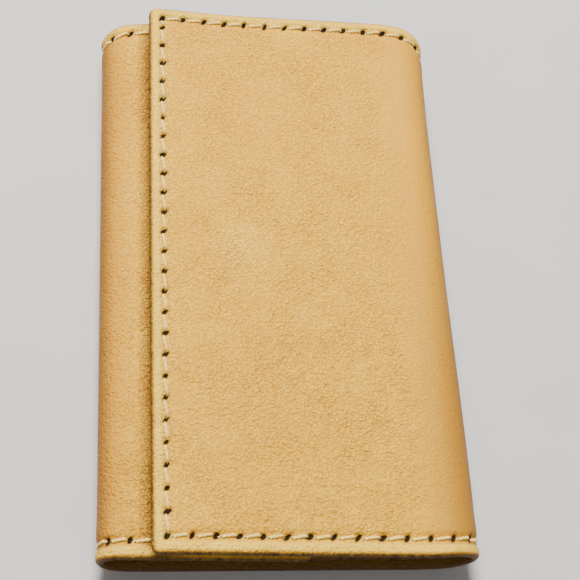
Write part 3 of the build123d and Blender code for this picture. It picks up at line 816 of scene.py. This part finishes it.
OUTER = outer_leather()
INNER = inner_leather()
CLOTH = woven_lining("lining_cloth", linear(104, 76, 50), linear(62, 44, 30))
THREAD = waxed_thread("cream_thread", linear(253, 228, 132), linear(224, 184, 84))
BRASS = snap_metal("aged_brass", linear(206, 170, 104), linear(128, 96, 52), 0.26)
STEEL = snap_metal("spring_steel", linear(196, 196, 200), linear(120, 118, 116), 0.3)


# ---------------------------------------------------------------- pieces and how they bend


def bend(piece):
    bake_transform(piece)


QUARTERS = {
    "flap": (0.0, S_SEAM_RIGHT, True, False),
    "back_right": (S_SEAM_RIGHT, S_SEAM_BACK, False, False),
    "back_left": (S_SEAM_BACK, S_SEAM_LEFT, False, False),
    "inner": (S_SEAM_LEFT, S_END, False, True),
}
NODES = {
    "flap": ("flap", "right_fold"),
    "back_right": ("centre",),
    "back_left": ("centre", "left_fold"),
    "inner": ("inner_panel",),
}


def finished(piece, material):
    piece.data.materials.append(material)
    return piece


def layer(name, nodes, depths, inset, y0, y1, material, slot, **grid):
    """One sheet, as four pieces that meet half way round each fold and down the middle of the back."""
    for quarter, (s0, s1, free0, free1) in QUARTERS.items():
        s0 = s0 + inset if free0 else s0
        s1 = s1 - inset if free1 else s1
        sheet = Sheet(s0, s1, y0, y1, depths, free0, free1, **grid)
        piece = finished(sheet.build(f"{name}_{quarter}"), material)
        bend(piece)
        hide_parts(*(f"{nodes}_{body}" for body in NODES[quarter]))


def outer_shell():
    half = HEIGHT / 2
    column = RIM_ROWS[2][:, 1]
    along = RIM_ROWS[0][:, 0]
    layer("leather", "shell", SHELL, 0.0, -half - LONGER_BELOW, half, OUTER, "leather_outer",
          relief=shell_relief, coarse=0.9, fine=0.22, gathered=(along, column))


def linings():
    half = HEIGHT / 2 - LINING_INSET
    layer("lining_sheet", "lining", LINING, LINING_INSET, -half, half, CLOTH, "lining_cloth",
          coarse=0.8, fine=0.6, fine_width=1.0, corner=LINING_CORNER)


def dividers():
    low, high = DIVIDER_INSET - HEIGHT / 2, HEIGHT / 2 - NOTE_MOUTH_DROP
    layer("divider_sheet", "divider", DIVIDER, DIVIDER_INSET, low, high, INNER, "leather_inner",
          coarse=0.8, fine=0.4, fine_width=2.0, corner=DIVIDER_CORNER)


def flat_pocket(name, node, s0, s1, y0, y1, depths, body, free=(True, True)):
    """A pocket leather. The body is one of the quarters, where the piece is left as built, or a body that it
    rides on.
    """
    sheet = Sheet(s0, s1, y0, y1, depths, free[0], free[1], coarse=1.0, fine=0.4, fine_width=2.0,
                  corner=POCKET_CORNER)
    piece = finished(sheet.build(name), INNER)
    if body in QUARTERS:
        bend(piece)
    else:
        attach(piece, body)
    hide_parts(node)


def pockets():
    low, high = POCKET_INSET - HEIGHT / 2, HEIGHT / 2 - NOTE_MOUTH_DROP - SIDE_POCKET_TOP_DROP
    for place_name, (outer, inner, mouth) in CARD_POCKETS.items():
        node = f"card_pocket_{place_name}"
        halves = (("right", "back_right", S_BEND_RIGHT + CARD_POCKET_GAP, S_SEAM_BACK, (True, False)),
                  ("left", "back_left", S_SEAM_BACK, S_BEND_LEFT - CARD_POCKET_GAP, (False, True)))
        for side, quarter, s0, s1, free in halves:
            flat_pocket(f"{node}_{side}", node, s0, s1, low, mouth, (outer, inner), quarter, free)
    flat_pocket("flap_pocket_leather", "flap_pocket", POCKET_INSET, S_FLAP_MOUTH, low, high,
                SIDE_POCKET, "flap")
    flat_pocket("inner_pocket_leather", "inner_panel_pocket", S_INNER_MOUTH, S_END - POCKET_INSET, low, high,
                SIDE_POCKET, "inner_panel")


def shell_height(s, y, lift):
    from_ends = np.minimum(HEIGHT / 2 - y, HEIGHT / 2 + LONGER_BELOW + y)
    edge = np.minimum(from_ends, np.minimum(s, S_END - s))
    return place(s, y, 0.0, shell_relief(s, y, edge, with_holes=False) + lift)


def quarter_of(s):
    return next(name for name, (s0, s1, _, _) in QUARTERS.items() if s0 <= s <= s1 + 1e-6)


def seam_piece(name, height, **looks):
    """The rim's stitches, in four pieces by the quarter that holds each one's middle."""
    spans = {quarter: [] for quarter in QUARTERS}
    for row in RIM_ROWS:
        for start, end in zip(row, row[1:]):
            spans[quarter_of((start[0] + end[0]) / 2)].append((tuple(start), tuple(end)))
    for quarter, group in spans.items():
        piece = finished(stitches(f"{name}_{quarter}", group, height, **looks), THREAD)
        bend(piece)
        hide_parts(*(f"rim_thread_{body}" for body in NODES[quarter]))


def innermost(s, y):
    """Depth of the innermost layer at one place, where the rim's seam comes out on the inside."""
    if y > HEIGHT / 2 - NOTE_MOUTH_DROP - 1:
        return LINING[1]
    on_flap_pocket = POCKET_INSET < s < S_FLAP_MOUTH
    on_inner_pocket = S_INNER_MOUTH < s < S_END - POCKET_INSET
    if on_flap_pocket or on_inner_pocket:
        return SIDE_POCKET[1]
    return CARD_POCKETS["front"][1] if S_BEND_RIGHT < s < S_BEND_LEFT else DIVIDER[1]


def rim_thread():
    """The rim's seam, as it shows on the outside and on the inside."""
    def inside_height(s, y, lift):
        return place(s, y, innermost(s.mean(), y.mean()), INSIDE_THREAD_DEPTH - lift)
    seam_piece("rim_stitches", shell_height, slant=-0.5)
    seam_piece("inside_stitches", inside_height, slant=0.3, radius=INSIDE_STITCH_RADIUS)


def row_of(first, last, pitch, fixed, along_s):
    places = needle_holes(first, last, pitch)
    if along_s:
        return [((a, fixed), (b, fixed)) for a, b in zip(places, places[1:])]
    return [((fixed, a), (fixed, b)) for a, b in zip(places, places[1:])]


def pocket_thread(node, spans, depth, body):
    def inside_height(s, y, lift):
        return place(s, y, depth, -POCKET_THREAD_RISE - lift)
    row = stitches(f"{node}_row", spans, inside_height, radius=POCKET_STITCH_RADIUS)
    piece = finished(row, THREAD)
    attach(piece, body)
    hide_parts(node)


def pocket_threads():
    first = S_BACK + POCKET_STITCH_MARGIN
    last = S_LEFT - POCKET_STITCH_MARGIN
    for place_name, (_, inner, mouth) in CARD_POCKETS.items():
        spans = row_of(first, last, POCKET_STITCH_PITCH, mouth - POCKET_STITCH_MARGIN, True)
        pocket_thread(f"card_pocket_thread_{place_name}", spans, inner, "centre")
    half = STITCH_ROW_Y - NOTE_MOUTH_DROP
    side_rows = (("flap", S_FLAP_MOUTH - POCKET_STITCH_MARGIN),
                 ("inner_panel", S_INNER_MOUTH + POCKET_STITCH_MARGIN))
    for body, row_s in side_rows:
        spans = row_of(half, -half, POCKET_STITCH_PITCH, row_s, False)
        pocket_thread(f"{body}_pocket_thread", spans, SIDE_POCKET[1], body)


def snap_finish():
    """The snap keeps its CAD shape and gets its metal."""
    for node in ("snap_cap", "snap_socket", "snap_stud", "snap_post"):
        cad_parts[node].material_slots[0].material = BRASS
    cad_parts["snap_spring"].material_slots[0].material = STEEL


outer_shell()
linings()
dividers()
pockets()
rim_thread()
pocket_threads()
snap_finish()


# ---------------------------------------------------------------- camera, floor and light

CAMERA_AT = (-42.6, -107.2, 227.1)
CAMERA_LOOK, CAMERA_UP = (0.182, 0.420, -0.889), (-0.031, 0.906, 0.422)
CAMERA_LENS = 82.74
FLOOR_HALF_SIZE, FLOOR_GAP = 3.0, 0.0006  # metres


def camera():
    data = bpy.data.cameras.new("camera")
    made = bpy.data.objects.new("camera", data)
    bpy.context.scene.collection.objects.link(made)
    data.sensor_width = 36.0
    data.lens = CAMERA_LENS
    data.clip_start = 0.01
    look = Vector(CAMERA_LOOK).normalized()
    right = look.cross(Vector(CAMERA_UP)).normalized()
    turned = Matrix((right, right.cross(look), -look)).transposed().to_4x4()
    made.matrix_world = Matrix.Translation(Vector(CAMERA_AT) * MM) @ turned
    bpy.context.scene.camera = made


def floor():
    half = FLOOR_HALF_SIZE
    corners = [(-half, -half, 0), (half, -half, 0), (half, half, 0), (-half, half, 0)]
    obj = mesh_object("floor", np.array(corners), np.array([[0, 1, 2, 3]]))
    obj.location.z = cad_box[0].z - FLOOR_GAP
    material, tree, shader = new_material("pale_floor")
    where = add(tree, "ShaderNodeTexCoord").outputs["Object"]
    tone = remap(tree, noise(tree, where, 60.0, 4.0), 0.3, 0.7)
    tree.links.new(mix(tree, tone, (0.53, 0.53, 0.53, 1), (0.56, 0.56, 0.56, 1)), shader.inputs["Base Color"])
    shader.inputs["Roughness"].default_value = 0.85
    obj.data.materials.append(material)


def area_light(name, location, size, energy, colour):
    """A lamp at a place in metres, turned towards the wallet."""
    data = bpy.data.lights.new(name, "AREA")
    data.energy, data.size, data.color = energy, size, colour
    obj = bpy.data.objects.new(name, data)
    bpy.context.scene.collection.objects.link(obj)
    obj.location = location
    obj.rotation_euler = (-Vector(location)).to_track_quat("-Z", "Y").to_euler()


def lights():
    area_light("key", (-0.10, 0.42, 0.72), 0.36, 19.0, (1.0, 0.96, 0.88))
    area_light("fill", (-0.10, -0.50, 0.75), 0.90, 1.0, (1.0, 0.98, 0.95))
    world = bpy.data.worlds.new("world")
    world.use_nodes = True
    background = world.node_tree.nodes["Background"]
    background.inputs["Color"].default_value = (0.95, 0.97, 1.0, 1)
    background.inputs["Strength"].default_value = 0.25
    bpy.context.scene.world = world


camera()
floor()
lights()
